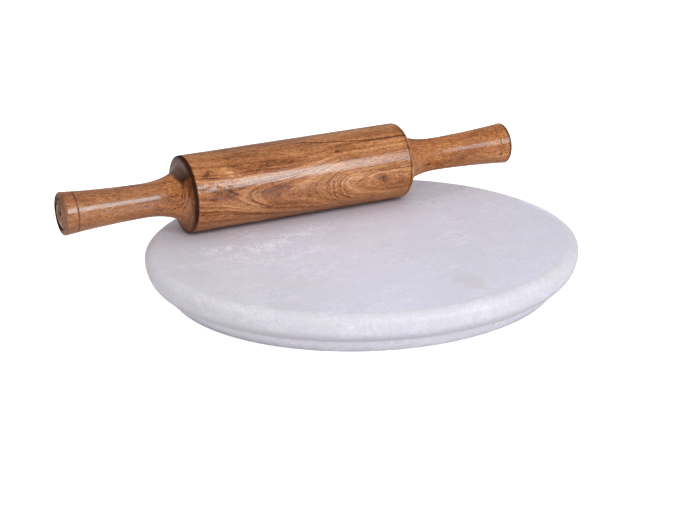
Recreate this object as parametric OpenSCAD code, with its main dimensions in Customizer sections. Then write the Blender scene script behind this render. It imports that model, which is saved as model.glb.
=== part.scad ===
// Chakla and belan: a round marble rolling board on a foot disc, with the turned
// wooden pin that rolls on it. The origin is the centre of the foot's underside,
// +X runs along the pin's axis and +Z is up.

/* [Board] */
// Diameter of the board at its widest line
board_d = 254; // [200:1:310]
// Thickness of the upper slab
slab_t = 16; // [12:0.5:20]
// Thickness of the foot disc under the slab
foot_t = 9; // [6:0.5:14]
// Width of the softened rim outside the flat rolling face
rim_w = 6.6; // [3:0.2:12]
// Drop from the rolling face to the rim's widest line
rim_drop = 5; // [3:0.5:8]
// How far the slab's lower edge curls in to the seam with the foot
under_w = 7; // [4:0.5:12]
// How far the foot tapers in from the seam to the floor
foot_taper = 6; // [3:0.5:12]
// How far the foot's side bows out beyond a straight taper
foot_bow = 0.6; // [0.2:0.1:1.5]
// Rounding of the foot's lower edge
foot_round = 1; // [0.5:0.1:2]

/* [Belan barrel] */
// Diameter of the barrel
barrel_d = 46.7; // [38:0.1:60]
// Length of the barrel between its two burnt lines
barrel_len = 141; // [110:1:175]
// Axial width of the left end's rounded shoulder
left_shoulder_w = 1.6; // [1:0.2:5]
// Axial width of the right end's rounded shoulder
right_shoulder_w = 3.2; // [1:0.2:5]
// Radial drop of the rounded shoulders
shoulder_drop = 4; // [3:0.2:6]

/* [Belan handles] */
// Length of the left handle, from the barrel's end to its tip
left_handle_len = 76; // [60:1:100]
// Length of the right handle, from the barrel's end to its tip
right_handle_len = 78; // [60:1:100]
// Length of the hollow cove between shoulder and neck
cove_len = 23.5; // [14:0.5:30]
// Diameter at the neck, the thinnest place
neck_d = 20.6; // [16:0.2:25]
// Diameter at the tip, the thickest place of the grip
grip_d = 26; // [21:0.2:32]
// Rounding of the tip's edge
tip_round = 1.2; // [0.5:0.1:2.5]

/* [Lathe marks] */
// Width of a burnt or scored line round the pin
score_w = 0.9; // [0.6:0.1:1.4]
// Depth of a burnt or scored line
score_depth = 0.35; // [0.2:0.05:0.6]
// Distance of the scored line from the tip
score_from_tip = 7.5; // [5:0.5:12]
// Distance of the plain ring turned in each end face from that face's edge
ring_inset = 2.4; // [1.8:0.2:5]
// Width of that ring
ring_w = 1.4; // [0.8:0.1:1.6]
// Diameter of the lathe centre's mark in each end face
centre_d = 3; // [2:0.2:4]

/* [Where the belan rests] */
// Middle of the barrel along its own axis, from the board's centre
belan_x = -14.8; // [-20:0.2:20]
// How far behind the board's centre the belan rests
belan_y = 64.5; // [40:0.5:70]
// Clearance between the barrel and the rolling face
rest_gap = 0.1; // [0.05:0.05:0.3]

/* [Hidden] */

board_r = board_d / 2;
board_t = foot_t + slab_t;
flat_r = board_r - rim_w;
widest_z = board_t - rim_drop;
seam_r = board_r - under_w;
floor_r = seam_r - foot_taper;

barrel_r = barrel_d / 2;
neck_r = neck_d / 2;
grip_r = grip_d / 2;
shoulder_r = barrel_r - shoulder_drop;
axis_z = board_t + rest_gap + barrel_r;

arc_steps = 10;
grip_steps = 12;
// How sharply the grip's swelling comes on towards the tip
swell = 1.8;
smooth = 128;

// Points on an ellipse's quarter, from one angle to another
function quarter(centre, a, b, from, to) =
    [for (i = [0:arc_steps])
        let (t = from + (to - from) * i / arc_steps)
        centre + [a * cos(t), b * sin(t)]];

// Grip radius at distance u from the barrel's end, where the neck ends at neck_u and the tip is at tip_u
function grip_at(u, neck_u, tip_u) =
    neck_r + (grip_r - neck_r) * pow(max(0, (u - neck_u) / (tip_u - neck_u)), swell);

// Outline of one handle from the barrel's end to the middle of its tip: [radius, distance]
function handle_side(shoulder_w, tip_u) =
    let (neck_u = shoulder_w + cove_len,
         edge_u = tip_u - tip_round,
         edge_r = grip_at(edge_u, neck_u, tip_u) - tip_round)
    concat(
        [for (p = quarter([0, shoulder_r], shoulder_w, shoulder_drop, 90, 0)) [p[1], p[0]]],
        [for (p = quarter([neck_u, shoulder_r], cove_len, shoulder_r - neck_r, 180, 270)) [p[1], p[0]]],
        [for (i = [1:grip_steps])
            let (u = neck_u + (edge_u - neck_u) * i / grip_steps)
            [grip_at(u, neck_u, tip_u), u]],
        [for (p = quarter([edge_u, edge_r], tip_round, tip_round, 90, 0)) [p[1], p[0]]],
        [[0, tip_u]]);

// One half of the pin's outline, from the barrel's end outwards, along the lathe's axis
function half_outline(shoulder_w, tip_u) =
    [for (p = handle_side(shoulder_w, tip_u)) [p[0], p[1] + barrel_len / 2]];

// Outline of the whole pin, from the middle of the left tip to the middle of the right
function pin_outline() =
    let (left = half_outline(left_shoulder_w, left_handle_len),
         right = half_outline(right_shoulder_w, right_handle_len),
         last = len(left) - 1)
    concat([for (i = [0:last]) [left[last - i][0], -left[last - i][1]]], right);

module slab_section() {
    polygon(concat(
        [[0, foot_t], [0, board_t]],
        quarter([flat_r, widest_z], rim_w, rim_drop, 90, 0),
        quarter([seam_r, widest_z], under_w, widest_z - foot_t, 0, -90)));
}

module foot_section() {
    side = [for (i = [0:arc_steps])
        let (t = i / arc_steps)
        [seam_r - foot_taper * t + foot_bow * 4 * t * (1 - t),
         foot_t - (foot_t - foot_round) * t]];
    edge = quarter([floor_r - foot_round, foot_round], foot_round, foot_round, 0, -90);
    polygon(concat([[0, 0], [0, foot_t]], side, edge));
}

module marble_slab() {
    color("#d6d2dc")
        rotate_extrude($fn = smooth)
            slab_section();
}

module marble_foot() {
    color("#cbc7d0")
        rotate_extrude($fn = smooth)
            foot_section();
}

// A V-shaped line cut round the pin at distance s from its middle, where its radius is r
module score(s, r) {
    rotate_extrude($fn = smooth)
        polygon([[r - score_depth, s], [r + score_depth, s - score_w], [r + score_depth, s + score_w]]);
}

// The lines, the end face's ring and the lathe centre's mark of the handle at the top of the blank
module marks(shoulder_w, tip_u) {
    neck_u = shoulder_w + cove_len;
    scored_u = tip_u - score_from_tip;
    ring_r = grip_at(tip_u - tip_round, neck_u, tip_u) - tip_round - ring_inset;
    score(barrel_len / 2, barrel_r);
    score(barrel_len / 2 + scored_u, grip_at(scored_u, neck_u, tip_u));
    translate([0, 0, barrel_len / 2 + tip_u]) {
        rotate_extrude($fn = smooth)
            polygon([[ring_r, -score_depth],
                     [ring_r + ring_w, score_depth],
                     [ring_r - ring_w, score_depth]]);
        rotate_extrude($fn = smooth)
            polygon([[0, -centre_d / 2], [centre_d, centre_d / 2], [0, centre_d / 2]]);
    }
}

// The pin stands on its axis, as on a lathe, with the barrel's middle at the origin
module turned_pin() {
    difference() {
        rotate_extrude($fn = smooth)
            polygon(pin_outline());
        marks(right_shoulder_w, right_handle_len);
        mirror([0, 0, 1])
            marks(left_shoulder_w, left_handle_len);
    }
}

module belan() {
    color("#b97a45")
        translate([belan_x, belan_y, axis_z])
            rotate([0, 90, 0])
                turned_pin();
}

marble_slab();
marble_foot();
belan();
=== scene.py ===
# Chakla and belan: the finish of a marble rolling board and of the wooden pin that rolls on it.
import math
from functools import partial
import bpy
import numpy as np
from mathutils import Matrix, Vector


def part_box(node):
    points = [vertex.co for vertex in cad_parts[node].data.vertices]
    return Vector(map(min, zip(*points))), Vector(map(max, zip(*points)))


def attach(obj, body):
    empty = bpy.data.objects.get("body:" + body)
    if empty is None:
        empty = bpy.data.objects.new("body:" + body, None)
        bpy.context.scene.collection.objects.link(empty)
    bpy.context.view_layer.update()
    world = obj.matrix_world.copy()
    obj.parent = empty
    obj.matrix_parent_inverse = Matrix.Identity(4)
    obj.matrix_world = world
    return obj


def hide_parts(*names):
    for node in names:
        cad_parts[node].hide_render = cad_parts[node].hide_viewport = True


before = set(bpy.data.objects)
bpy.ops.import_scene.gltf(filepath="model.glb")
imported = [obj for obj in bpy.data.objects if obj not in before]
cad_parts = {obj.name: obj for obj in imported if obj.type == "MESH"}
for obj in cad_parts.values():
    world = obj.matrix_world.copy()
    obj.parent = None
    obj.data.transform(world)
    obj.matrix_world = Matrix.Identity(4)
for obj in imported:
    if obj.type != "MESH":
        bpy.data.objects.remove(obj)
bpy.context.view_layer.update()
mm = 0.001

slabLow, slabHigh = (np.array(corner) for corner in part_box("marble_slab"))
footLow, footHigh = (np.array(corner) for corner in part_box("marble_foot"))
pinLow, pinHigh = (np.array(corner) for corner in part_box("belan"))
print("frame loaded:", ", ".join(sorted(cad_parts)))


def addObject(name, data):
    added = bpy.data.objects.new(name, data)
    bpy.context.scene.collection.objects.link(added)
    return added


# Closed mesh from points[ring, step, xyz]: each ring joins the next with quads, and a fan
# from each end ring to its pole closes it.
def closedRings(name, points, startPole, endPole):
    rings, steps = points.shape[:2]
    index = np.arange(rings * steps).reshape(rings, steps)
    turned = np.roll(index, -1, axis=1)
    quads = np.stack([index[:-1], turned[:-1], turned[1:], index[1:]], axis=-1).reshape(-1, 4)
    poleA, poleB = (np.full(steps, rings * steps + k) for k in (0, 1))
    fans = np.vstack([np.stack([poleA, turned[0], index[0]], axis=-1),
                      np.stack([poleB, index[-1], turned[-1]], axis=-1)])
    verts = np.vstack([points.reshape(-1, 3), [startPole], [endPole]])
    # signed volume: a sixth of the sum of a . (b x c) over the triangles, positive when they face out
    tris = np.vstack([quads[:, [0, 1, 2]], quads[:, [0, 2, 3]], fans])
    a, b, c = (verts[tris[:, k]] for k in range(3))
    if np.einsum("ij,ij->i", a, np.cross(b, c)).sum() < 0:
        quads, fans = quads[:, ::-1], fans[:, ::-1]
    mesh = bpy.data.meshes.new(name)
    mesh.from_pydata(verts.tolist(), [], quads.tolist() + fans.tolist())
    mesh.polygons.foreach_set("use_smooth", np.ones(len(mesh.polygons), bool))
    mesh.update()
    return addObject(name, mesh)


# Slow unevenness round a hand-ground edge, from 0 to 1: a sum of sines of the angle,
# each with its own whole number of waves and its own phase.
def unevenness(angle, waves, seed):
    phases = np.random.default_rng(seed).uniform(0, 2 * np.pi, len(waves))
    total = sum(np.sin(n * angle + phase) / (k + 1) for k, (n, phase) in enumerate(zip(waves, phases)))
    return 0.5 + 0.5 * total / sum(1 / (k + 1) for k in range(len(waves)))


# The camera, from where it stands to what it sees
shot = {
    "back": 997.5 * mm,  # level distance from the board's axis
    "height": 364.3 * mm,
    "around": 25.78,  # degrees that the camera stands to the left of straight ahead of the pin
    "pan": -0.746,  # degrees that it looks to the left of the board's axis
    "tilt": 19.51,  # degrees that it looks down
    "roll": 1.59,  # degrees that it is turned, the right side of the board higher
    "lens": 95.1,  # millimetres, on a sensor this wide:
    "sensor": 36,
    "nearest": 0.05,  # what it sees, in metres
    "farthest": 30,
}


def addCamera():
    around, heading = math.radians(shot["around"]), math.radians(shot["around"] + shot["pan"])
    tilt, roll = math.radians(shot["tilt"]), math.radians(shot["roll"])
    ahead = Vector((math.sin(heading) * math.cos(tilt), math.cos(heading) * math.cos(tilt), -math.sin(tilt)))
    levelRight = Vector((math.cos(heading), -math.sin(heading), 0))
    levelDown = ahead.cross(levelRight)
    right = levelRight * math.cos(roll) + levelDown * math.sin(roll)
    up = right.cross(ahead)
    camera = addObject("camera", bpy.data.cameras.new("camera"))
    camera.data.sensor_width = shot["sensor"]
    camera.data.lens = shot["lens"]
    camera.data.clip_start = shot["nearest"]
    camera.data.clip_end = shot["farthest"]
    place = Vector((-shot["back"] * math.sin(around), -shot["back"] * math.cos(around), shot["height"]))
    camera.matrix_world = Matrix.Translation(place) @ Matrix([right, up, -ahead]).transposed().to_4x4()
    bpy.context.scene.camera = camera


addCamera()
print("camera placed")

boardSteps = 480
boardAngle = np.linspace(0, 2 * np.pi, boardSteps, endpoint=False)


# Stone disc from bands of rings, where a band is radii and heights, one row for each ring. A point
# is (radius times cosine of the angle, radius times sine of the angle, height).
def turnedDisc(name, bands, startHeight, endHeight):
    whole = [np.broadcast_arrays(radius, height, boardAngle) for radius, height in bands]
    radii, heights, angles = (np.vstack(part) for part in zip(*whole))
    points = np.stack([radii * np.cos(angles), radii * np.sin(angles), heights], axis=-1)
    return closedRings(name, points, (0, 0, startHeight), (0, 0, endHeight))


# One row for each value, so that a value makes a ring
def rows(values):
    return np.asarray(values)[:, None]


# Angles over a quarter turn, a row for each
def quarterTurn(count):
    return rows(np.linspace(0, np.pi / 2, count))


# The slab: sizes in metres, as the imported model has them, and how uneven the grinding left it
slabCut = {
    "rimWidth": 6.6 * mm,
    "rimDrop": 5 * mm,
    "underWidth": 7 * mm,
    "rimWaver": 0.35 * mm,  # how far the widest line wanders in
    "rimWaves": (2, 3, 5, 9),  # how many times it does in one turn
    "rimSeed": 4,
    "flatWaver": 1.1 * mm,  # the same for the flat top's edge
    "flatWaves": (3, 4, 7, 11, 17),
    "flatSeed": 8,
}


# Slab: the rim is a quarter ellipse from the flat top's edge out to the widest line, and the under
# side a quarter ellipse from there in to the seam.
def makeSlab():
    widest = slabHigh[0] - slabCut["rimWaver"] * unevenness(boardAngle, slabCut["rimWaves"], slabCut["rimSeed"])
    wander = slabCut["flatWaver"] * unevenness(boardAngle, slabCut["flatWaves"], slabCut["flatSeed"])
    flatEdge = slabHigh[0] - slabCut["rimWidth"] - wander
    seam = slabHigh[0] - slabCut["underWidth"]
    top, low = slabHigh[2], slabLow[2]
    drop = slabCut["rimDrop"]
    over, under = quarterTurn(29), quarterTurn(30)[1:]
    slab = turnedDisc("slab", [
        (flatEdge * rows(np.linspace(0.04, 0.98, 20)), top),
        (flatEdge + (widest - flatEdge) * np.sin(over), top - drop + drop * np.cos(over)),
        (seam + (widest - seam) * np.cos(under), top - drop - (top - drop - low) * np.sin(under)),
        (seam * rows([0.97, 0.7, 0.4, 0.1]), low),
    ], top, low)
    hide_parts("marble_slab")
    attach(slab, "board")
    return slab


# The foot, in the same way
footCut = {
    "taper": 6 * mm,
    "bow": 0.6 * mm,
    "edgeRound": 1 * mm,
    "seamRound": 0.5 * mm,
    "waver": 0.35 * mm,
    "waves": (2, 5, 6, 13),
    "seed": 15,
}


# Foot: straight taper from the seam to the floor plus a parabola's bow, with both edges rounded.
def makeFoot():
    seam = slabHigh[0] - slabCut["underWidth"]
    side = seam - footCut["waver"] * unevenness(boardAngle, footCut["waves"], footCut["seed"])
    high, low, taper = footHigh[2], footLow[2], footCut["taper"]
    seamRound, edgeRound = footCut["seamRound"], footCut["edgeRound"]
    over, down, under = quarterTurn(7)[:-1], rows(np.linspace(0, 1, 20)), quarterTurn(9)[1:]
    foot = turnedDisc("foot", [
        (seam * rows([0.1, 0.4, 0.7]), high),
        (side - seamRound * (1 - np.sin(over)), high - seamRound * (1 - np.cos(over))),
        (side - taper * down + footCut["bow"] * 4 * down * (1 - down),
         high - seamRound - (high - seamRound - low - edgeRound) * down),
        (side - taper - edgeRound * (1 - np.cos(under)), low + edgeRound * (1 - np.sin(under))),
        ((seam - taper - edgeRound) * rows([0.9, 0.6, 0.3, 0.1]), low),
    ], high, low)
    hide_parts("marble_foot")
    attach(foot, "board")
    return foot


# The pin: sizes in metres along and across its axis, as turned on the lathe
pin = {
    "barrelRadius": 23.35 * mm,
    "barrelHalf": 70.5 * mm,
    "shoulderDrop": 4 * mm,
    "cove": 23.5 * mm,
    "neckRadius": 10.3 * mm,
    "gripRadius": 13 * mm,
    "swell": 1.8,
    "tipRound": 1.2 * mm,
    "scoreHalf": 0.45 * mm,  # half the width of a scored line
    "scoreDepth": 0.35 * mm,
    "scoreFromTip": 7.5 * mm,
    "scoreClose": 1.5 * mm,  # the outline's points stand closer than elsewhere this near a scored line
    "barrelClose": 2 * mm,  # and this near the barrel's end
    "ringInset": 2.4 * mm,
    "ringHalf": 0.7 * mm,  # half the width of the ring turned in each end face
    "centreRadius": 1.5 * mm,
    "bareDeep": 2 * mm,  # bare wood reaches this far in from each end
    "bareInside": 0.1 * mm,  # and starts this far inside the tip's rounding
    "toolMarks": 0.06 * mm,  # ripples that the gouge left
    "ripples": (3.1 * mm, 7.3 * mm),
    "outOfRound": 0.1 * mm,
    "roundWaves": (2, 3),
    "roundSeed": 6,
    "steps": 176,
    "left": {"side": -1, "handle": 76 * mm, "shoulder": 1.6 * mm},
    "right": {"side": 1, "handle": 78 * mm, "shoulder": 3.2 * mm},
}
pinMiddle = np.array([pinLow[0] + pin["left"]["handle"] + pin["barrelHalf"],
                      (pinLow[1] + pinHigh[1]) / 2, (pinLow[2] + pinHigh[2]) / 2])


# Handle radius at distance u from the barrel's end: a convex quarter ellipse for the shoulder, a hollow
# one for the cove, then neck plus swelling times a power of the way to the tip.
def handleRadius(u, end):
    shoulderRadius = pin["barrelRadius"] - pin["shoulderDrop"]
    coveEnd = end["shoulder"] + pin["cove"]
    shoulder = shoulderRadius + pin["shoulderDrop"] * np.sqrt(np.clip(1 - (u / end["shoulder"]) ** 2, 0, 1))
    back = np.clip((coveEnd - u) / pin["cove"], 0, 1)
    cove = shoulderRadius - (shoulderRadius - pin["neckRadius"]) * np.sqrt(np.clip(1 - back ** 2, 0, 1))
    way = np.clip((u - coveEnd) / (end["handle"] - coveEnd), 0, 1)
    grip = pin["neckRadius"] + (pin["gripRadius"] - pin["neckRadius"]) * way ** pin["swell"]
    return np.where(u < end["shoulder"], shoulder, np.where(u < coveEnd, cove, grip))


# One end's outline, from the middle of the barrel to the middle of the tip, as distances along
# the axis and radii. A scored line takes a V out of the radius.
def endOutline(end):
    half, tipRound, ringHalf, close = (pin[name] for name in ("barrelHalf", "tipRound", "ringHalf", "scoreClose"))
    handle = end["handle"]
    coveEnd = end["shoulder"] + pin["cove"]
    scored = handle - pin["scoreFromTip"]
    barrel = np.concatenate([np.linspace(0, half - pin["barrelClose"], 40)[:-1],
                             half + np.linspace(-pin["barrelClose"], 0, 19)[:-1]])
    quarter = np.sin(np.linspace(0, np.pi / 2, 16))
    u = np.concatenate([quarter * end["shoulder"],
                        (coveEnd - pin["cove"] * quarter[::-1])[1:],
                        np.linspace(coveEnd, scored - close, 26)[1:],
                        scored + np.linspace(-close, close, 25)[1:],
                        np.linspace(scored + close, handle - tipRound, 8)[1:]])
    along = np.concatenate([barrel, half + u])
    radius = np.concatenate([np.full(len(barrel), pin["barrelRadius"]), handleRadius(u, end)])
    for at in (half, half + scored):
        radius = radius - pin["scoreDepth"] * np.clip(1 - np.abs(along - at) / pin["scoreHalf"], 0, 1)
    # the tip: a quarter circle, then the flat end with its turned ring and the lathe's centre mark
    tip = half + handle
    edge = float(handleRadius(np.array(handle - tipRound), end))
    t = np.linspace(0, np.pi / 2, 8)[1:]
    along = np.concatenate([along, tip - tipRound * (1 - np.sin(t))])
    radius = np.concatenate([radius, edge - tipRound * (1 - np.cos(t))])
    ringRadius = edge - tipRound - pin["ringInset"]
    ring = ringRadius + np.linspace(1.4, -1.4, 15) * ringHalf
    face = np.concatenate([ring, [6 * mm, 4 * mm, 2 * mm], np.linspace(pin["centreRadius"], 0.15 * mm, 6)])
    sunk = pin["scoreDepth"] * np.clip(1 - np.abs(face - ringRadius) / ringHalf, 0, 1)
    sunk = sunk + np.clip(pin["centreRadius"] - face, 0, None)
    return np.concatenate([along, tip - sunk]), np.concatenate([radius, face])


# Pin: both outlines carried round the X axis. A little is taken off the radius for the gouge's
# ripples, which follow the length, and for wood that moved, which follows the angle.
def makePin():
    leftAlong, leftRadius = endOutline(pin["left"])
    rightAlong, rightRadius = endOutline(pin["right"])
    along = np.concatenate([-leftAlong[::-1], rightAlong[1:]])
    radius = np.concatenate([leftRadius[::-1], rightRadius[1:]])
    angle = np.linspace(0, 2 * np.pi, pin["steps"], endpoint=False)
    shortRipple, longRipple = pin["ripples"]
    ripple = 0.5 + 0.25 * np.sin(along / shortRipple) + 0.25 * np.sin(along / longRipple + 1)
    moved = pin["outOfRound"] * unevenness(angle, pin["roundWaves"], pin["roundSeed"])
    off = pin["toolMarks"] * ripple[:, None] + moved[None, :]
    across = radius[:, None] - off * np.clip(radius[:, None] / pin["neckRadius"], 0, 1)
    sides = np.broadcast_to(along[:, None], across.shape)
    points = np.stack([sides, across * np.cos(angle), across * np.sin(angle)], axis=-1) + pinMiddle
    poles = []
    for end in (pin["left"], pin["right"]):
        reach = pin["barrelHalf"] + end["handle"] - pin["centreRadius"]
        poles.append(tuple(pinMiddle + np.array([end["side"] * reach, 0, 0])))
    belan = closedRings("belan_turned", points, *poles)
    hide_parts("belan")
    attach(belan, "pin")
    return belan


slab, foot, belan = makeSlab(), makeFoot(), makePin()
print("pieces made:", *(f"{piece.name} {len(piece.data.polygons)} faces" for piece in (slab, foot, belan)))


# Linear colour from the 0 to 255 values that a colour picker shows
def shade(red, green, blue):
    linear = [(c / 255 / 12.92) if c < 11 else ((c / 255 + 0.055) / 1.055) ** 2.4 for c in (red, green, blue)]
    return (*linear, 1)


def isSocket(value):
    return isinstance(value, bpy.types.NodeSocket)


# Adds a node, sets its own settings, then fills its sockets with numbers or other nodes' outputs.
# Unless a tree is given, the node goes into the one that those outputs are in.
def addNode(kind, sockets, tree=None, **settings):
    tree = tree or next(value.id_data for value in sockets.values() if isSocket(value))
    node = tree.nodes.new("ShaderNode" + kind)
    for setting, value in settings.items():
        setattr(node, setting, value)
    for socket, value in sockets.items():
        if isSocket(value):
            tree.links.new(value, node.inputs[socket])
        else:
            node.inputs[socket].default_value = value
    return node


def feed(value, socket):
    value.id_data.links.new(value, socket)


def maths(operation, a, b=0.0, clamp=False):
    return addNode("Math", {0: a, 1: b}, operation=operation, use_clamp=clamp).outputs[0]


plus, minus, times, larger = (partial(maths, kind) for kind in ("ADD", "SUBTRACT", "MULTIPLY", "MAXIMUM"))


# How far a value is from another, either way
def gap(a, b):
    return maths("ABSOLUTE", minus(a, b))


# A value from 0 to 1 taken about its middle, and made so many times as large
def swing(value, amount):
    return times(minus(value, 0.5), amount)


def vectorMaths(operation, a, b=(0, 0, 0), output=0):
    return addNode("VectorMath", {0: a, 1: b}, operation=operation).outputs[output]


stretched = partial(vectorMaths, "MULTIPLY")
lengthOf = partial(vectorMaths, "LENGTH", output=1)
# how far a place lies along a direction
reachAlong = partial(vectorMaths, "DOT_PRODUCT", output=1)


def partsOf(vector):
    return addNode("SeparateXYZ", {0: vector}).outputs


# A ramp: toLow where the value is low, toHigh where it is high, and between them on the way
def between(value, low, high, toLow=0.0, toHigh=1.0, smooth=False):
    kind = "SMOOTHSTEP" if smooth else "LINEAR"
    return addNode("MapRange", {"Value": value, "From Min": low, "From Max": high, "To Min": toLow,
                                "To Max": toHigh}, interpolation_type=kind).outputs[0]


# One value where the share is 0, another where it is 1
def shared(share, none, whole):
    return between(share, 0, 1, none, whole)


# Noise over a vector that is stretched first, or over one number when the stretch is None
def noise(source, stretch, detail=2.0, roughness=0.5, output=0, distortion=0.0):
    sockets = {"Scale": 1.0, "Detail": detail, "Roughness": roughness, "Distortion": distortion}
    if stretch is None:
        return addNode("TexNoise", {"W": source, **sockets}, noise_dimensions="1D").outputs[output]
    return addNode("TexNoise", {"Vector": stretched(source, stretch), **sockets}).outputs[output]


def blend(share, a, b):
    return addNode("Mix", {0: share, 6: a, 7: b}, data_type="RGBA").outputs[2]


def brighten(colour, by):
    return addNode("HueSaturation", {"Color": colour, "Value": plus(by, 1.0)}).outputs[0]


def colourRamp(value, stops):
    node = addNode("ValToRGB", {0: value})
    points = node.color_ramp.elements
    for point, (place, colour) in ((points[0], stops[0]), (points[-1], stops[-1])):
        point.position, point.color = place, colour
    for place, colour in stops[1:-1]:
        points.new(place).color = colour
    return node.outputs[0]


# A curve drawn over 0 to 1 by its points
def drawnCurve(value, points):
    node = addNode("FloatCurve", {1: value})
    curve = node.mapping.curves[0]
    for place, height in points[1:-1]:
        curve.points.new(place, height)
    curve.points[0].location, curve.points[-1].location = points[0], points[-1]
    node.mapping.update()
    return node.outputs[0]


def newGroup(name, inputs, outputs):
    tree = bpy.data.node_groups.new(name, "ShaderNodeTree")
    for direction, sockets in (("INPUT", inputs), ("OUTPUT", outputs)):
        for label, kind in sockets.items():
            tree.interface.new_socket(label, in_out=direction, socket_type="NodeSocket" + kind)
    return tree, tree.nodes.new("NodeGroupInput").outputs, tree.nodes.new("NodeGroupOutput").inputs


def useGroup(group, sockets):
    return addNode("Group", sockets, node_tree=group).outputs


# Object coordinates in millimetres, measured from a place
def millimetres(tree, place):
    scale = 1 / mm
    coordinates = addNode("TexCoord", {}, tree).outputs["Object"]
    return addNode("Mapping", {"Vector": coordinates, "Location": [-scale * v for v in place],
                               "Scale": (scale, scale, scale)}).outputs[0]


# Adds one streak to a mask, laid flat on the unrolled wood. In the streak's own frame its length and
# its width both run from -1 to 1, and the mask is e to the minus sum of the fourth powers.
def makeStreakGroup():
    tree, given, made = newGroup("streakInWood", {"Vector": "Vector", "Middle": "Vector", "Turn": "Vector",
                                                  "Reach": "Vector", "Strength": "Float", "So Far": "Float"},
                                 {"Mask": "Float"})
    own = addNode("Mapping", {"Vector": given["Vector"], "Location": given["Middle"], "Rotation": given["Turn"],
                              "Scale": given["Reach"]}, vector_type="TEXTURE").outputs[0]
    squares = stretched(own, own)
    fall = times(reachAlong(squares, squares), -1.0)
    bell = times(maths("EXPONENT", fall), given["Strength"])
    feed(larger(bell, given["So Far"]), made["Mask"])
    return tree


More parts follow.
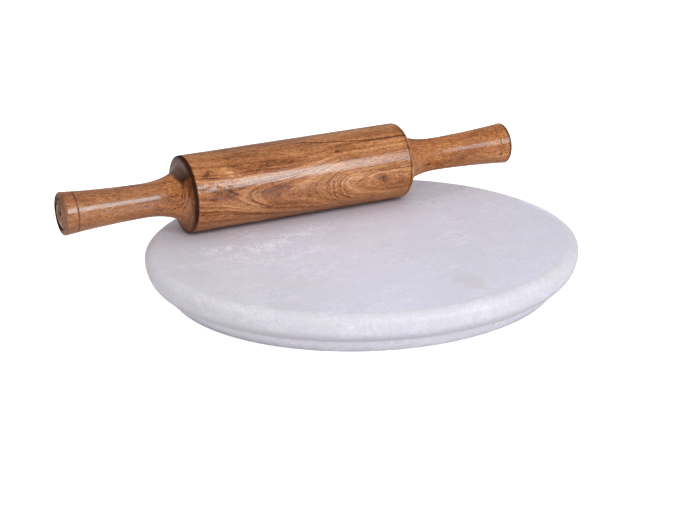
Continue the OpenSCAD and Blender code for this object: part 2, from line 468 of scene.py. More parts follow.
# The wood: where its grain runs, in millimetres from the barrel's middle. The growth rings lie across
# a direction that turns about the pin's axis along its length, and they climb or sink along it.
grain = {
    "ends": 90,  # the curves below run this far either way along the pin
    # degrees from straight ahead, against distance along the pin
    "turn": [(-90, 34), (-74, 36), (-71.5, 14), (-50, 6), (-30, 0), (-12, -7), (4, -8), (18, -11), (32, -14),
             (50, -15), (71, -15), (90, -18)],
    # millimetres that the rings climb, against the same
    "lift": [(-90, -3.7), (-71, -3.4), (-50, -3.2), (-30, -1.9), (-12, -0.8), (4, 0.0), (10, 1.0), (15, 2.0),
             (19, 3.0), (23, 4.0), (30, 4.9), (45, 5.4), (71, 5.8), (90, 6.0)],
    "liftMost": 8,
    "eyes": [((31, -2), 1.2, (5, 6, 3)), ((52, -6), 1.5, (10, 9, 4))],  # place, height and size
    "ringNoises": ((0.42, 2), (1.9, 3, 0.6)),  # broad and fine: scale, detail, roughness
    "ringSpacing": 1.0,
    "ringLate": 3.0,  # how suddenly the late wood of a ring comes
    "ringStray": 2.5,  # how many rings the slow noise adds or takes
    # how the grain strays: stretch of the noise, reach in millimetres, detail
    "nearStray": ((0.1, 0.4, 0.4), (0, 0.5, 0.5), 2),
    "farStray": ((0.02, 0.07, 0.07), (0, 1.8, 1.8), 1),
    # noises: stretch, detail, roughness
    "fibres": ((0.3, 1.7, 1.7), 4, 0.65),
    "specks": ((0.9, 2.4, 2.4), 2, 0.6),
    "flame": ((0.14, 0.5, 0.5), 3, 0.6),
    "cloud": ((0.03, 0.11, 0.11), 3),
    "flush": ((0.25, 0.4, 0.4), 3, 0.7),
    "flushFrom": (0.5, 0.62),
    # how much each counts: broad, fine and late rings, then fibres, specks, flame and cloud
    "ringWeights": (0.6, 0.8, -0.24),
    "figureWeights": (1.15, 1.0, 0.35, 0.7),
    "handleFrom": (71, 76),
    "handleRings": (1.0, 0.3),  # on the barrel and on the handles, here and in the next two
    "handleFigure": (1.0, 1.05),
    "handleBlush": (0.08, 0.34),
    "dullFrom": (-80, -90),
    "dullShare": (0.24, 0.05),  # where the wood isn't flushed, and where it is
    "poreCells": (0.5, 2.1, 2.1),
    "poreHeld": (0.45, 0.75),  # which cells hold a pore, and how far its core reaches in one
    "poreCore": (0.30, 0.12),
    "poreShare": 0.55,
    "streakRagged": 1.3,
    "overlap": 0.56,  # half a streak's length as a share of its line, and more where stretches join
    "bentOverlap": 0.65,
    "streakEnds": 0.15,
    # streaks, each a line through (along, degrees up from straight ahead), a width and a depth.
    # There is room for about two more: with too many the wood renders black.
    "darkStreaks": [
        ([(2, 75.5), (18, 66.5), (45, 58), (72, 56)], 0.5, 1.0),
        ([(-72, 58), (-2, 62)], 14.0, 0.17),
        ([(-46, 48), (-38, 42), (4, 39.5)], 1.5, 0.5), ([(-44, 42), (-24, 37)], 2.4, 0.35),
        ([(-33, 43.5), (2, 40)], 0.55, 0.6),
        ([(-59, 48), (-64, 36)], 1.6, 0.6), ([(-68, 34), (-52, 32)], 1.0, 0.6),
        ([(-50, 12), (-41, -1), (-32, -14), (-22, -27), (5, -40)], 0.8, 0.5),
        ([(-29, -23.5), (-23, -26.5)], 0.6, 0.75),
        ([(-70, -13), (-54, -18), (-34, -33), (-10, -46)], 0.55, 0.4),
        ([(-71.9, 45), (-72.5, 23), (-74, -1), (-76, -20)], 0.5, 0.5),
        ([(-74.7, 21.5), (-75.2, 3.5), (-77.6, -14), (-82, -22)], 0.55, 0.6),
        ([(-76, 19.5), (-77, 6.5), (-79.5, 2), (-84, 5)], 0.5, 0.55),
        ([(-78, 21), (-80, 15), (-84, 17)], 0.5, 0.5),
        ([(-34, 3), (4, -24)], 7.0, 0.16), ([(-26, -34), (10, -38)], 4.0, 0.2),
        ([(-66, 0), (-38, -22)], 8.0, 0.1),
        ([(15, 14.5), (7, 5), (4.8, -8), (10.3, -25), (25, -38)], 0.8, 0.35),
        ([(21.5, 14.5), (13.5, 2), (13, -13), (25, -34)], 0.5, 0.5),
        ([(24, 11.5), (17.2, -3), (19, -18), (30, -32.5)], 0.42, 0.5),
        ([(26, 7), (21, -4), (28, -26.5)], 0.4, 0.45),
        ([(35, -4.5), (46, 7), (71, 6)], 0.5, 0.5),
        ([(47, -1), (54, -9)], 2.2, 0.35), ([(50, -4.5), (51.8, -5)], 0.75, 1.2),
        ([(50.6, -9.5), (52.2, -10)], 0.7, 1.0),
        ([(22, 46.3), (24.5, 46)], 0.6, 1.2), ([(49, 50.8), (51.5, 50.4)], 0.5, 1.0),
        ([(4, 75), (6.5, 74.5)], 0.6, 1.1),
        ([(-108, 104), (-99, 84)], 3.0, 0.7), ([(-97, 80), (-80, 62)], 2.0, 0.35),
        ([(87, -14), (90, -16)], 2.2, 0.6), ([(139, -15), (142, -16)], 1.6, 0.55),
    ],
    "paleStreaks": [
        ([(-52, 46), (-45, 33)], 1.8, 0.45), ([(-70, 62), (-50, 56)], 2.0, 0.25),
        ([(-69, 1), (-42, -14), (-28, -27), (-3, -42)], 1.3, 0.4),
        ([(11, 5), (8.5, -8), (16, -28)], 1.0, 0.3), ([(27, -0.5), (35, 0.5)], 1.4, 0.5),
        ([(4, -6), (58, -22)], 9.0, 0.2),
    ],
    "paleDepth": 0.45,
    "darkDepth": 0.55,
    "tones": [(0.0, shade(80, 40, 14)), (0.2, shade(124, 68, 28)), (0.5, shade(182, 113, 62)),
              (0.88, shade(222, 164, 110)), (1.0, shade(234, 188, 142))],
    "blush": shade(156, 86, 54),  # reddish patches on the handles
    "handled": shade(128, 94, 78),  # the left grip is duller from the hand
    "pore": shade(100, 50, 24),
}


# Grain of the wood as a solid, from a place in millimetres: its colour, its pores and its fibres
def makeGrainGroup(streakGroup):
    tree, given, made = newGroup("flowingGrain", {"Vector": "Vector"},
                                 {"Colour": "Color", "Pores": "Float", "Fibres": "Float"})
    place = given["Vector"]

    def stray(stretch, reach, detail):
        push = noise(place, stretch, detail, output=1)
        return stretched(vectorMaths("SUBTRACT", push, (0.5, 0.5, 0.5)), reach)

    near = vectorMaths("ADD", place, stray(*grain["nearStray"]))
    strayed = vectorMaths("ADD", near, stray(*grain["farStray"]))
    apart = partsOf(strayed)
    ends = grain["ends"]
    along = between(apart["X"], -ends, ends)

    def curveOf(points, most):
        drawn = drawnCurve(along, [((x + ends) / (2 * ends), (v + most) / (2 * most)) for x, v in points])
        return shared(drawn, -most, most)

    turn = curveOf([(x, math.radians(v)) for x, v in grain["turn"]], 1)
    lift = curveOf(grain["lift"], grain["liftMost"])
    across = minus(times(apart["Z"], maths("SINE", turn)), times(apart["Y"], maths("COSINE", turn)))
    depth = plus(across, lift)
    barrel = pin["barrelRadius"] / mm

    def onBarrel(at):
        angle = math.radians(at[1])
        return (at[0], -barrel * math.cos(angle), barrel * math.sin(angle))

    # an eye in the grain is a bump in the rings: a bell curve of the distance to its middle
    for at, height, size in grain["eyes"]:
        reach = vectorMaths("DIVIDE", vectorMaths("SUBTRACT", strayed, onBarrel(at)), size)
        fall = times(reachAlong(reach, reach), -1.0)
        depth = plus(depth, times(maths("EXPONENT", fall), height))

    broad, fine = (noise(times(depth, scale), None, *rest) for scale, *rest in grain["ringNoises"])
    count = maths("DIVIDE", depth, grain["ringSpacing"])
    count = plus(count, times(broad, grain["ringStray"]))
    late = maths("POWER", maths("FRACT", count), grain["ringLate"])
    fibres = noise(strayed, *grain["fibres"])
    specks = noise(place, *grain["specks"])
    flame = noise(near, *grain["flame"])
    cloud = noise(place, *grain["cloud"])

    def weighed(parts, weights, middles):
        total = 0.0
        for part, weight, middle in zip(parts, weights, middles):
            total = plus(total, times(minus(part, middle), weight))
        return total

    # the handles are plainer: their rings hardly show
    handle = between(maths("ABSOLUTE", apart["X"]), *grain["handleFrom"])
    rings = weighed((broad, fine, late), grain["ringWeights"], (0.5, 0.5, 0.25))
    figure = weighed((fibres, specks, flame, cloud), grain["figureWeights"], (0.5, 0.5, 0.5, 0.5))
    tone = plus(times(rings, shared(handle, *grain["handleRings"])), 0.5)
    tone = plus(tone, times(figure, shared(handle, *grain["handleFigure"])))

    # streaks lie on the wood unrolled by its angle, so they are as strong on the thin handles
    apart = partsOf(near)
    angle = maths("ARCTAN2", apart["Z"], times(apart["Y"], -1.0))
    ragged = swing(fibres, grain["streakRagged"])
    rolled = plus(times(angle, barrel), ragged)
    flat = addNode("CombineXYZ", {0: apart["X"], 1: rolled}).outputs[0]

    def streaksOf(lines):
        total = 0.0
        for points, width, strength in lines:
            points = [Vector((x, math.radians(degrees) * barrel, 0)) for x, degrees in points]
            overlap = grain["bentOverlap" if len(points) > 2 else "overlap"]
            for start, end in zip(points, points[1:]):
                line = end - start
                total = useGroup(streakGroup, {
                    "Vector": flat, "Middle": (start + end) / 2, "Turn": (0, 0, math.atan2(line.y, line.x)),
                    "Reach": (line.length * overlap + grain["streakEnds"], width, 1), "Strength": strength,
                    "So Far": total})["Mask"]
        return total

    tone = plus(tone, times(streaksOf(grain["paleStreaks"]), grain["paleDepth"]))
    tone = minus(tone, times(streaksOf(grain["darkStreaks"]), grain["darkDepth"]))
    colour = colourRamp(tone, grain["tones"])
    flush = between(noise(place, *grain["flush"]), *grain["flushFrom"])
    colour = blend(times(flush, shared(handle, *grain["handleBlush"])), colour, grain["blush"])
    side = partsOf(place)["X"]
    dull = times(between(side, *grain["dullFrom"]), shared(flush, *grain["dullShare"]))
    colour = blend(dull, colour, grain["handled"])

    # pores are short dashes: cells stretched along the fibres, of which some hold a dark core
    cells = addNode("TexVoronoi", {"Vector": stretched(strayed, grain["poreCells"]), "Scale": 1.0})
    held = between(cells.outputs["Color"], *grain["poreHeld"])
    pores = times(between(cells.outputs["Distance"], *grain["poreCore"]), held)
    colour = blend(times(pores, grain["poreShare"]), colour, grain["pore"])
    feed(colour, made["Colour"])
    feed(pores, made["Pores"])
    feed(fibres, made["Fibres"])
    return tree


# The varnish and what was burnt into the wood. A ramp is where it starts and ends, in millimetres
# from the pin's middle, and what it is worth there: 0 and 1 unless it says.
wood = {
    "shader": {"Coat Roughness": 0.19, "IOR": 1.5, "Coat IOR": 1.7, "Specular IOR Level": 0.12},
    "burnt": shade(58, 24, 8),
    # place along the pin, width and depth of each burnt line
    "burntLines": [(-70.6, 1.55, 1.0), (70.5, 0.6, 0.7), (-139.0, 0.6, 0.55), (141.0, 0.6, 0.12)],
    "burntNoise": ((0.5, 0.25, 0.25), 4, 0.6),
    "burntRagged": 1.3,
    "burntEdge": (1.15, 0.35),  # in widths of the line
    "burntBelow": (-19, -10, 0.6, 1.0),  # the wire bit less underneath
    # both tips are darker at their very edge
    "tipEdges": ((145.8, 147.1, 0.0, 0.8), (-145.2, -146.1, 0.0, 0.25)),
    "smoked": shade(96, 50, 24),  # the left shoulder's darker edge, and also the colour of the painted shade underneath and along the top
    "smokedFrom": (-74.5, -71),
    "smokedTo": (-70, -70.6),
    "smokedShare": 0.6,
    "smokedRagged": 6.0,
    # a dark tongue down the left shoulder, from its top to its tail
    "tongue": shade(128, 100, 88),
    "tongueTail": shade(38, 21, 15),
    "tongueTurn": (7.0, 17.0),
    "tongueUp": (0, 0.42, 0.91),
    "tongueRagged": 3.0,
    "tongueMiddle": (2.0, 10.0, -75.1, -73.9),
    "tongueHalf": (3.5, 10.0, 0.25, 3.2),
    "tongueEdge": (1.8, -0.7),
    "tongueFoot": (-0.5, 2.5),
    "tongueShoulder": (-70.3, -70.8, 0.0, 0.92),
    # painted shade: the wood darker underneath, and a little along the top
    "shadeBelow": (-3, -21, 0.03, 0.2),
    "shadeAbove": (16, 23, 0.0, 0.1),
    "gloss": (-40, 75, 0.36, 0.48),  # roughness of the wood under the varnish
    "fibreRough": 0.35,
    "unevenRough": 0.3,
    "burntRough": 0.25,
    "varnish": (0.3, 0.7, 0.675, 0.9),  # its weight, over the uneven noise
    "tongueBare": 0.8,  # how bare the tongue is, and how much varnish a bare place lacks
    "bareLack": 0.9,
    "varnishAlong": (10, 72, 1.0, 0.6),
    "varnishBelow": (-12, 6, 0.35, 1.0),  # thinner underneath, where it was wiped
    # the right grip has lost most of it where the hand holds it: the middle of that place, and a ramp
    # over the distance from there
    "heldAt": 95,
    "held": (4, 14, 0.3, 1.0),
    "wornFrom": (-36, -58),  # pitted near the barrel's left end
    "wornTo": (-74, -71),
    "pits": ((0.5, 0.7, 0.7), 3, 0.7),
    "pitFrom": (0.47, 0.55),
    "pitShare": (0.1, 0.9),  # elsewhere, and where it is worn
    "peel": ((0.22, 0.3, 0.3), 2),
    "uneven": ((0.05, 0.12, 0.12), 3),
    # bumps, in millimetres
    "poreDeep": -0.03,
    "fibreHigh": (5, 70, 0.016, 0.05),  # the varnish sank into the fibres on the right
    "peelHigh": 0.02,
    "pitHigh": 0.55,
}


# A line burnt round the pin with a wire: dark within a width of its place along the pin, and uneven
def makeBurntGroup():
    tree, given, made = newGroup("burntLine", {"Vector": "Vector", "At": "Float", "Width": "Float",
                                               "Strength": "Float"}, {"Mask": "Float"})
    along = partsOf(given["Vector"])["X"]
    rough = minus(noise(given["Vector"], *wood["burntNoise"]), 0.5)
    aside = gap(along, given["At"])
    share = maths("DIVIDE", plus(aside, times(rough, wood["burntRagged"])), given["Width"])
    mask = times(between(share, *wood["burntEdge"], smooth=True), given["Strength"])
    feed(mask, made["Mask"])
    return tree


streakGroup = makeStreakGroup()
grainGroup = makeGrainGroup(streakGroup)
burntGroup = makeBurntGroup()


# A new material, its shader's sockets, and places on the piece in millimetres from its middle
def newMaterial(name, settings, middle=(0, 0, 0)):
    material = bpy.data.materials.new(name)
    material.use_nodes = True
    shader = material.node_tree.nodes["Principled BSDF"].inputs
    for socket, value in settings.items():
        shader[socket].default_value = value
    return material, shader, millimetres(material.node_tree, middle)


def feedBump(shader, height):
    feed(addNode("Bump", {"Height": height, "Distance": mm}).outputs[0], shader["Normal"])


# Varnished wood: the grain, the burnt lines, and a thin coat that is pitted near the left end
def varnishedWood():
    material, shader, place = newMaterial("varnishedWood", wood["shader"], pinMiddle)
    made = useGroup(grainGroup, {"Vector": place})
    burnt = 0.0
    for at, width, strength in wood["burntLines"]:
        line = useGroup(burntGroup, {"Vector": place, "At": at, "Width": width, "Strength": strength})
        burnt = larger(burnt, line["Mask"])
    apart = partsOf(place)
    along, upright = apart["X"], apart["Z"]
    burnt = times(burnt, between(upright, *wood["burntBelow"]))
    ragged = minus(made["Fibres"], 0.5)
    smoked = plus(along, times(ragged, wood["smokedRagged"]))
    smoked = times(between(smoked, *wood["smokedFrom"], smooth=True), between(along, *wood["smokedTo"]))
    colour = blend(times(smoked, wood["smokedShare"]), made["Colour"], wood["smoked"])
    edges = larger(*[between(along, *edge) for edge in wood["tipEdges"]])
    colour = blend(edges, colour, wood["burnt"])
    # the tongue narrows down the shoulder: its edge is where the distance aside passes its half width
    upper = plus(reachAlong(place, wood["tongueUp"]), times(ragged, wood["tongueRagged"]))
    aside = gap(along, between(upper, *wood["tongueMiddle"]))
    aside = minus(aside, between(upper, *wood["tongueHalf"], smooth=True))
    tongue = times(between(aside, *wood["tongueEdge"], smooth=True), between(upper, *wood["tongueFoot"]))
    tongue = times(tongue, between(along, *wood["tongueShoulder"]))
    # colour of the darker tongue, darkest towards its tail
    tongueColour = blend(between(upper, *wood["tongueTurn"]), wood["tongueTail"], wood["tongue"])
    colour = blend(tongue, colour, tongueColour)
    colour = blend(burnt, colour, wood["burnt"])
    # painted shade: darker underneath and a little along the top
    paintedShade = larger(between(upright, *wood["shadeBelow"]), between(upright, *wood["shadeAbove"]))
    colour = blend(paintedShade, colour, wood["smoked"])
    feed(colour, shader["Base Color"])
    worn = times(between(along, *wood["wornFrom"], smooth=True), between(along, *wood["wornTo"]))
    pits = noise(place, *wood["pits"])
    peel = noise(place, *wood["peel"])
    uneven = noise(place, *wood["uneven"])
    rough = plus(times(ragged, wood["fibreRough"]), swing(uneven, wood["unevenRough"]))
    rough = plus(rough, between(along, *wood["gloss"]))
    rough = plus(rough, times(burnt, wood["burntRough"]))
    feed(rough, shader["Roughness"])
    bare = larger(burnt, times(tongue, wood["tongueBare"]))
    coat = times(between(uneven, *wood["varnish"]), minus(1.0, times(bare, wood["bareLack"])))
    coat = times(coat, between(along, *wood["varnishAlong"]))
    coat = times(coat, between(gap(along, wood["heldAt"]), *wood["held"]))
    coat = times(coat, between(upright, *wood["varnishBelow"]))
    pitted = times(between(pits, *wood["pitFrom"]), shared(worn, *wood["pitShare"]))
    coat = times(coat, minus(1.0, pitted))
    feed(coat, shader["Coat Weight"])
    height = times(made["Pores"], wood["poreDeep"])
    height = plus(height, times(made["Fibres"], between(along, *wood["fibreHigh"])))
    height = plus(height, times(peel, wood["peelHigh"]))
    height = plus(height, times(times(pits, worn), wood["pitHigh"]))
    feedBump(shader, height)
    return material


# The bare end faces, in millimetres from the pin's axis
tips = {
    "shader": {"IOR": 1.45, "Specular IOR Level": 0.15},
    "high": shade(150, 120, 84),  # bare wood in the upper part of the face and in the lower
    "low": shade(184, 146, 126),
    "heights": (-8, 8),
    "bareShare": 0.6,
    "dirtAndShade": shade(70, 42, 28),
    "poreCells": (0.2, 2.6, 2.6),
    "poreCore": (0.34, 0.16),
    "poreShare": 0.45,
    "patchy": ((0.1, 0.16, 0.16), 3),
    "mottled": ((0.1, 0.42, 0.42), 3, 0.65),
    "ring": 9.4,  # the turned ring's radius; dirt in it, and painted shade that deepens it low at the back
    "ringEdge": (0.9, 0.3),
    "ringDirtAndShade": (-6.0, 6.0, 0.1, 0.7),
    "ringPatchy": 12.0,
    "lowBack": (0, 0.9, -0.4),
    "edgeDirt": (10.6, 13.0, 0.0, 0.55),
    "centre": (1.7, 0.9),
    "turningShift": (0, 1.8, -0.5),  # turning marks run round a middle a little off the true one
    "turningStray": 1.2,
    "turningWaves": 2.1,
    "turningDirt": (-2, 5, 0.16, 0.7),  # from the front of the face to the back
    "mottledDirt": (0.45, 0.65, 0.0, 0.4),
    # a painted recess: a black painted shadow of a hollow, and a pale painted highlight on a lip inside it,
    # each at its radius, in an upper and a lower place at the back
    "hollow": shade(30, 16, 12),
    "hollowAt": 9.2,
    "hollowEdge": (2.1, 1.3),
    "lipHighlight": shade(214, 178, 158),
    "lipAt": 6.5,
    "lipEdge": (1.3, 0.5),
    "lipShare": 0.8,
    "upperAt": 1.3,
    "upperEdge": (3.2, 2.2),
    "upperBack": (1, 3),
    "lowerFrom": (-4.6, -5.6),
    "lowerBack": (-1.5, 0),
    "gloss": (0.55, 0.75),
    "fibreHigh": 0.05,
    "poreDeep": 0.08,
}


# Bare end grain: the same solid grain cut across, with dirt in its pores, dirt and painted shade in its ring, and
# a painted recess's shadow and highlight
def bareEndGrain():
    material, shader, place = newMaterial("bareEndGrain", tips["shader"], pinMiddle)
    made = useGroup(grainGroup, {"Vector": place})
    dots = addNode("TexVoronoi", {"Vector": stretched(place, tips["poreCells"]), "Scale": 1.0})
    cores = between(dots.outputs["Distance"], *tips["poreCore"])
    apart = partsOf(place)
    back, upright = apart["Y"], apart["Z"]
    bare = blend(between(upright, *tips["heights"]), tips["low"], tips["high"])
    colour = blend(tips["bareShare"], made["Colour"], bare)
    colour = blend(times(cores, tips["poreShare"]), colour, tips["dirtAndShade"])
    across = stretched(place, (0, 1, 1))
    radius = lengthOf(across)
    patchy = noise(place, *tips["patchy"])
    mottled = noise(place, *tips["mottled"])
    ring = between(gap(radius, tips["ring"]), *tips["ringEdge"])
    # dirt in the ring, with painted shade deepening it low at the back
    lowBack = plus(reachAlong(place, tips["lowBack"]), swing(patchy, tips["ringPatchy"]))
    ring = times(ring, between(lowBack, *tips["ringDirtAndShade"]))
    edge = between(radius, *tips["edgeDirt"])
    dirtAndShade = larger(larger(ring, edge), between(radius, *tips["centre"]))
    off = lengthOf(vectorMaths("ADD", across, tips["turningShift"]))
    off = plus(off, times(mottled, tips["turningStray"]))
    turned = between(maths("SINE", times(off, tips["turningWaves"])), -1, 1)
    turned = times(turned, between(back, *tips["turningDirt"]))
    dirtAndShade = plus(dirtAndShade, plus(turned, between(mottled, *tips["mottledDirt"])), True)
    colour = blend(dirtAndShade, colour, tips["dirtAndShade"])
    # painted recess: a painted shadow in a hollow and a painted highlight on its lip
    upper = between(gap(upright, tips["upperAt"]), *tips["upperEdge"])
    upper = times(upper, between(back, *tips["upperBack"]))
    lower = times(between(upright, *tips["lowerFrom"]), between(back, *tips["lowerBack"]))
    paintedRecess = larger(upper, lower)
    lipHighlight, hollow = (times(between(gap(radius, tips[at]), *tips[edge]), paintedRecess)
                   for at, edge in (("lipAt", "lipEdge"), ("hollowAt", "hollowEdge")))
    colour = blend(times(lipHighlight, tips["lipShare"]), colour, tips["lipHighlight"])
    feed(blend(hollow, colour, tips["hollow"]), shader["Base Color"])
    feed(shared(patchy, *tips["gloss"]), shader["Roughness"])
    feedBump(shader, minus(times(made["Fibres"], tips["fibreHigh"]), times(cores, tips["poreDeep"])))
    return material


# The marble: colours as seen in plain light, places in millimetres
marble = {
    "shader": {"Subsurface Weight": 0.12, "Subsurface Scale": 0.006, "IOR": 1.49},
    "cool": shade(227, 226, 241),
    "warm": shade(218, 217, 226),
    "warmSide": (-110, -30, 1.15, 0.2),  # warmer towards the board's left
    "rim": shade(219, 217, 225),
    "rimPaintedLight": shade(246, 245, 250),  # painted light: the rim paler on the far right
    "rimFrom": (-1.6, 1.2),  # outwards from the flat top's edge
    "rimBelow": (14.0, 20.0, 0.6, 1.0),
    "edgeRagged": 3.0,
    "paintedLightWay": (0.75, 0.66, 0),
    "paintedLightFrom": (55, 105),
    # paler than the rim: painted light, standing in for light that the floor throws up
    "foot": shade(231, 228, 237),
    "topGloss": 0.3,
    "rimGloss": 0.5,
    "smearGloss": 0.22,
    "footGloss": (0.42, 0.62),
    # noises: stretch, detail, roughness
    "clouds": ((0.011, 0.016, 0.016), 3),
    "cloudShare": (0.35, 0.65, -0.3, 0.3),
    "mottling": ((0.13, 0.13, 0.13), 5, 0.62),
    "patches": ((0.035, 0.05, 0.05), 3),
    "patchFrom": (0.45, 0.6),
    "curls": ((0.16, 0.13, 0.16), 3, 0.6),
    "curlTwist": 0.6,
    "curlEdge": (0.06, 0.015),
    "sugar": ((0.55, 0.55, 0.7), 3, 0.7),
    "smears": ((0.02, 0.035, 0.05), 4, 0.6),
    "swell": ((0.05, 0.05, 0.05), 2),
    "footGrey": ((0.35, 0.35, 0.5), 4, 0.75),
    # how much lighter or darker each makes the stone
    "mottleDepth": 0.12,
    "crystalDepth": 0.03,
    "fleckDepth": 0.3,
    "sugarDepth": 0.22,
    "footGreyDepth": 0.5,
    # bumps, in millimetres: on the polished top and on the honed rim
    "mottleHigh": (0.01, 0.16),
    "crystalHigh": (0.001, 0.012),
    "swellHigh": 0.03,
    "footHigh": (0.12, 0.006),  # mottling and crystals on the foot
    "crystals": 1.1,  # in each millimetre
    "bruise": ((-50, 22, 25), (58, 40, 20)),  # middle and reach of the place where pale flecks gather
    "bruiseEdge": (1.2, 0.3),
    "bruised": (0.25, 1.0),
    "stain": ((20, -94, 25), (8, 17, 5)),  # and of an old mark on the top
    "stainEdge": (1.25, 0.5),
    "stainRagged": 1.4,
    "stainColour": shade(212, 203, 204),
    "stainShare": 0.36,
    "shadeGrey": shade(150, 144, 150),
    "slabSeam": (16.5, 9.4, 0.0, 0.42),  # painted shade under the rim into the seam: height above the floor, then strength
    # painted shade on the foot, by the seam and at its bottom edge
    "footSeam": (7.2, 9.0, 0.0, 0.32),
    "footBottomShade": (1.2, 0.2, 0.0, 0.25),
}


# Distance from a place as a share of a reach
def nearness(place, middle, reach):
    away = vectorMaths("SUBTRACT", place, middle)
    return lengthOf(vectorMaths("DIVIDE", away, reach))


# Body of the stone as a solid: clouds from cool to warm, mottling, grains of crystal and pale flecks
def makeMarbleGroup():
    tree, given, made = newGroup("marbleBody", {"Vector": "Vector", "Cool": "Color", "Warm": "Color"},
                                 {"Colour": "Color", "Crystals": "Float", "Mottle": "Float"})
    place = given["Vector"]
    cloud = between(noise(place, *marble["clouds"]), *marble["cloudShare"])
    cloud = plus(cloud, between(partsOf(place)["X"], *marble["warmSide"]), True)
    mottle = noise(place, *marble["mottling"])
    grains = addNode("TexVoronoi", {"Vector": place, "Scale": marble["crystals"]})
    tint = addNode("SeparateColor", {0: grains.outputs["Color"]}).outputs[0]
    patches = between(noise(place, *marble["patches"]), *marble["patchFrom"])
    # a curl is a contour line of the noise, where it passes through its middle value
    curls = noise(place, *marble["curls"], distortion=marble["curlTwist"])
    curls = between(gap(curls, 0.5), *marble["curlEdge"])
    # the flecks gather where the stone was bruised
    bruised = between(nearness(place, *marble["bruise"]), *marble["bruiseEdge"], smooth=True)
    flecks = times(curls, plus(times(patches, shared(bruised, *marble["bruised"])), 0.1))
    tone = swing(mottle, marble["mottleDepth"])
    tone = plus(tone, swing(tint, marble["crystalDepth"]))
    tone = plus(tone, times(flecks, marble["fleckDepth"]))
    body = blend(cloud, given["Cool"], given["Warm"])
    feed(brighten(body, tone), made["Colour"])
    feed(tint, made["Crystals"])
    feed(mottle, made["Mottle"])
    return tree


marbleGroup = makeMarbleGroup()


# Slab: polished on top, honed by hand round the rim, painted grey shade under the rim and into the seam with the
# foot
def polishedMarble():
    material, shader, place = newMaterial("polishedMarble", marble["shader"])
    body = useGroup(marbleGroup, {"Vector": place, "Cool": marble["cool"], "Warm": marble["warm"]})
    # painted light: the rim paler towards the far right
    paintedLight = between(reachAlong(place, marble["paintedLightWay"]), *marble["paintedLightFrom"])
    rimColourWithLight = blend(paintedLight, marble["rim"], marble["rimPaintedLight"])
    honed = useGroup(marbleGroup, {"Vector": place, "Cool": rimColourWithLight, "Warm": rimColourWithLight})
    radius = lengthOf(stretched(place, (1, 1, 0)))
    height = partsOf(place)["Z"]
    edge = (slabHigh[0] - slabCut["rimWidth"]) / mm
    rim = plus(radius, swing(body["Mottle"], marble["edgeRagged"]))
    rim = between(rim, *(edge + out for out in marble["rimFrom"]), smooth=True)
    rim = times(rim, between(height, *marble["rimBelow"]))
    stain = plus(nearness(place, *marble["stain"]), swing(body["Mottle"], marble["stainRagged"]))
    stain = times(between(stain, *marble["stainEdge"], smooth=True), marble["stainShare"])
    colour = blend(stain, body["Colour"], marble["stainColour"])
    colour = blend(rim, colour, honed["Colour"])
    # honed stone is sugary, paler and darker from place to place
    sugar = noise(place, *marble["sugar"])
    colour = brighten(colour, swing(sugar, times(rim, marble["sugarDepth"])))
    # painted shade under the rim, darkest towards the seam
    seam = between(height, *marble["slabSeam"], smooth=True)
    feed(blend(seam, colour, marble["shadeGrey"]), shader["Base Color"])
    gloss = shared(rim, marble["topGloss"], marble["rimGloss"])
    gloss = plus(gloss, swing(noise(place, *marble["smears"]), marble["smearGloss"]))
    feed(gloss, shader["Roughness"])
    bumps = times(body["Mottle"], shared(rim, *marble["mottleHigh"]))
    bumps = plus(bumps, times(body["Crystals"], shared(rim, *marble["crystalHigh"])))
    bumps = plus(bumps, times(noise(place, *marble["swell"]), marble["swellHigh"]))
    feedBump(shader, bumps)
    return material


# Foot: honed all over, painted shade by the seam and at the bottom where it stands
def honedMarble():
    material, shader, place = newMaterial("honedMarble", marble["shader"])
    body = useGroup(marbleGroup, {"Vector": place, "Cool": marble["foot"], "Warm": marble["foot"]})
    height = plus(partsOf(place)["Z"], swing(body["Mottle"], marble["edgeRagged"]))
    dirtAndShade = larger(between(height, *marble["footSeam"]), between(height, *marble["footBottomShade"]))
    colour = blend(dirtAndShade, body["Colour"], marble["shadeGrey"])
    grey = swing(noise(place, *marble["footGrey"]), marble["footGreyDepth"])
    feed(brighten(colour, grey), shader["Base Color"])
    feed(shared(body["Mottle"], *marble["footGloss"]), shader["Roughness"])
    mottleHigh, crystalHigh = marble["footHigh"]
    feedBump(shader, plus(times(body["Mottle"], mottleHigh), times(body["Crystals"], crystalHigh)))
    return material


slab.data.materials.append(polishedMarble())
foot.data.materials.append(honedMarble())
belan.data.materials.append(varnishedWood())
belan.data.materials.append(bareEndGrain())


# The flat ends and what is cut into them are bare, so their faces take the second material
def bareTheTips():
    faces = belan.data.polygons
    centres = np.empty(len(faces) * 3)
    faces.foreach_get("center", centres)
    centres = centres.reshape(-1, 3) - pinMiddle
    tip = pin["barrelHalf"] + np.where(centres[:, 0] < 0, pin["left"]["handle"], pin["right"]["handle"])
    radius = np.hypot(centres[:, 1], centres[:, 2])
    inside = pin["gripRadius"] - pin["tipRound"] - pin["bareInside"]
    bare = (np.abs(centres[:, 0]) > tip - pin["bareDeep"]) & (radius < inside)
    faces.foreach_set("material_index", bare.astype(np.int32))


bareTheTips()
print("materials made")

# Lamps and the floor. A lamp is its place, width, height and power; all of them look at one place.
studio = {
    "floorHalf": 8,
    "floorShade": 0.9,
    "floorGlow": 0.75,
    "surround": 0.61,
    "surroundGloss": (-0.35, 0.25, 0.05, 0.26),  # what polished things reflect, from left to right
    "tintTurn": (-0.9, 0.4),
    "leftTint": (1, 0.975, 0.965, 1),
    "rightTint": (0.975, 0.98, 1, 1),
    "target": (0, 0.03, 0.04),
    "strip": ((0.5, -1.27, 0.68), 1.02, 0.6, 12.6),
    "stripColour": (0.6, 0.86, 1),
    "frontHigh": ((-0.1, -1.2, 1.2), 1.0, 0.6, 10.2),
    "frontRight": ((0.2, -1.4, 0.6), 0.5, 0.5, 2.8),
    "above": ((0.1, 0.1, 1.6), 1.6, 1.6, 1.8),
    "lampColour": (0.97, 0.98, 1),
}


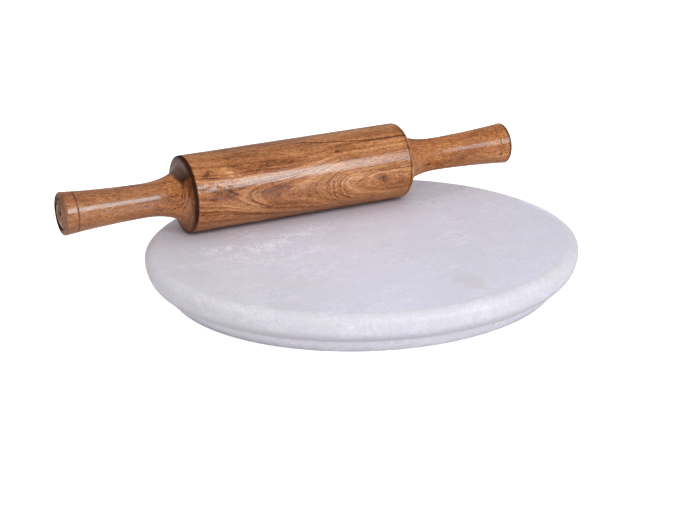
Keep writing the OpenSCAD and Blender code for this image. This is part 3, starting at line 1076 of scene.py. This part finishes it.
def addLamp(name, colour):
    place, width, height, power = studio[name]
    light = bpy.data.lights.new(name, "AREA")
    light.shape = "RECTANGLE"
    light.size, light.size_y = width, height
    light.energy = power
    light.color = colour
    lamp = addObject(name, light)
    lamp.location = place
    lamp.rotation_euler = (Vector(studio["target"]) - Vector(place)).to_track_quat("-Z", "Y").to_euler()
    return lamp


def addFloor():
    half = studio["floorHalf"]
    mesh = bpy.data.meshes.new("floor")
    mesh.from_pydata([(-half, -half, 0), (half, -half, 0), (half, half, 0), (-half, half, 0)], [], [(0, 1, 2, 3)])
    floor = addObject("floor", mesh)
    material = bpy.data.materials.new("paleFloor")
    material.use_nodes = True
    tree = material.node_tree
    tree.nodes.clear()
    seen = addNode("LightPath", {}, tree).outputs["Is Camera Ray"]
    matt = addNode("BsdfDiffuse", {"Color": (*[studio["floorShade"]] * 3, 1)}, tree)
    glow = addNode("Emission", {"Strength": times(seen, studio["floorGlow"])})
    both = addNode("AddShader", {0: matt.outputs[0], 1: glow.outputs[0]})
    addNode("OutputMaterial", {"Surface": both.outputs[0]})
    mesh.materials.append(material)


# The room's light: plain and pale, white to the camera, and darker in reflections
def addSurround():
    world = bpy.data.worlds.new("world")
    bpy.context.scene.world = world
    world.use_nodes = True
    tree = world.node_tree
    path = addNode("LightPath", {}, tree).outputs
    aim = partsOf(addNode("TexCoord", {}, tree).outputs["Generated"])["X"]
    glossy = minus(between(aim, *studio["surroundGloss"]), studio["surround"])
    level = plus(times(path["Is Glossy Ray"], glossy), studio["surround"])
    level = larger(level, path["Is Camera Ray"])
    tint = blend(between(aim, *studio["tintTurn"]), studio["leftTint"], studio["rightTint"])
    tint = blend(path["Is Camera Ray"], tint, (1, 1, 1, 1))
    back = tree.nodes["Background"]
    feed(tint, back.inputs["Color"])
    feed(level, back.inputs["Strength"])


addFloor()
addSurround()
# the strip only shines off the varnish and the polish; the others only light
addLamp("strip", studio["stripColour"]).visible_diffuse = False
for name in ("frontHigh", "frontRight", "above"):
    addLamp(name, studio["lampColour"]).visible_glossy = False
bpy.context.scene.view_settings.view_transform = "Standard"
print("studio lit")
